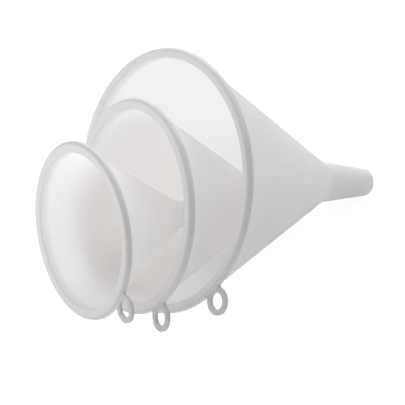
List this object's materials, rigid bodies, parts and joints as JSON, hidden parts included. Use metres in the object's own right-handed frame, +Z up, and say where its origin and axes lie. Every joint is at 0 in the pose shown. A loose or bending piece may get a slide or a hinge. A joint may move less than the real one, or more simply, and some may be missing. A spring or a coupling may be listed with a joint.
{
  "type": "funnel nest",
  "caption": "Nest of plastic pouring funnels lying on their sides, each with a rolled rim, straight cone, tapered stem and hanging eyelet.",
  "frame": {"origin": "on the table under the middle of the nest's box", "axes": "+Z up; +X along the large funnel's stem seen from above; the mouths face -X"},
  "size_m": [0.21, 0.1564, 0.1383],
  "materials": {
    "natural_plastic": "satin, milky and slightly see-through, uncoloured polypropylene or polyethylene"
  },
  "bodies": {
    "large": {"large_funnel": "natural_plastic"},
    "medium": {"medium_funnel": "natural_plastic"},
    "small": {"small_funnel": "natural_plastic"}
  },
  "joints": [
    {"name": "medium_pull", "type": "slide", "parent": "large", "child": "medium", "axis": [-1, 0, 0], "range_m": [0, 0.14]},
    {"name": "small_pull", "type": "slide", "parent": "medium", "child": "small", "axis": [-1, 0, 0], "range_m": [0, 0.09]}
  ]
}
